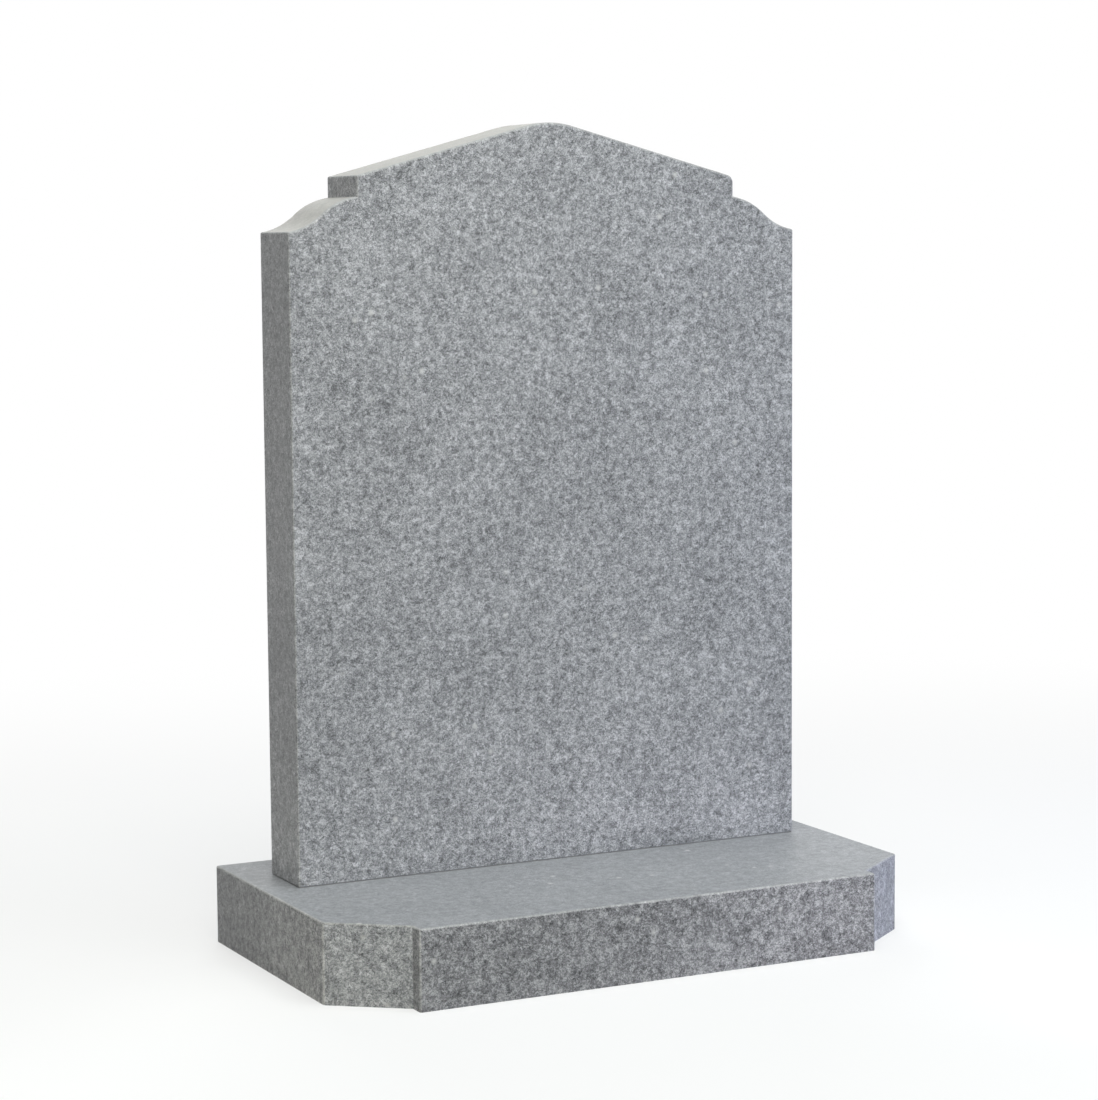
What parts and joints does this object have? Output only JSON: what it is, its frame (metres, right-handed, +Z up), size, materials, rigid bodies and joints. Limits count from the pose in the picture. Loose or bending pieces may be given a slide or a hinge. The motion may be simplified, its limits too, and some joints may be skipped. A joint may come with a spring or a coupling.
{
  "type": "headstone",
  "caption": "Upright granite headstone: a flat tablet with a rounded gable and ogee shoulders, doweled onto a low plinth with canted front corners.",
  "frame": {"origin": "middle of the plinth's underside, on the ground", "axes": "+Z up, -Y towards the front, +X to the right of someone who faces the front"},
  "size_m": [0.686, 0.38, 0.8915],
  "materials": {
    "tablet_granite": "fine-grained mid-grey granite, polished to a soft sheen",
    "plinth_granite": "fine-grained light grey granite, polished to a soft sheen",
    "joint_sealant": "dark grey memorial sealant, raked back",
    "stainless_steel": "drawn stainless bar"
  },
  "bodies": {
    "root": {"plinth": "plinth_granite", "bed_joint": "joint_sealant", "dowel_left": "stainless_steel", "dowel_right": "stainless_steel", "tablet": "tablet_granite"}
  },
  "joints": []
}
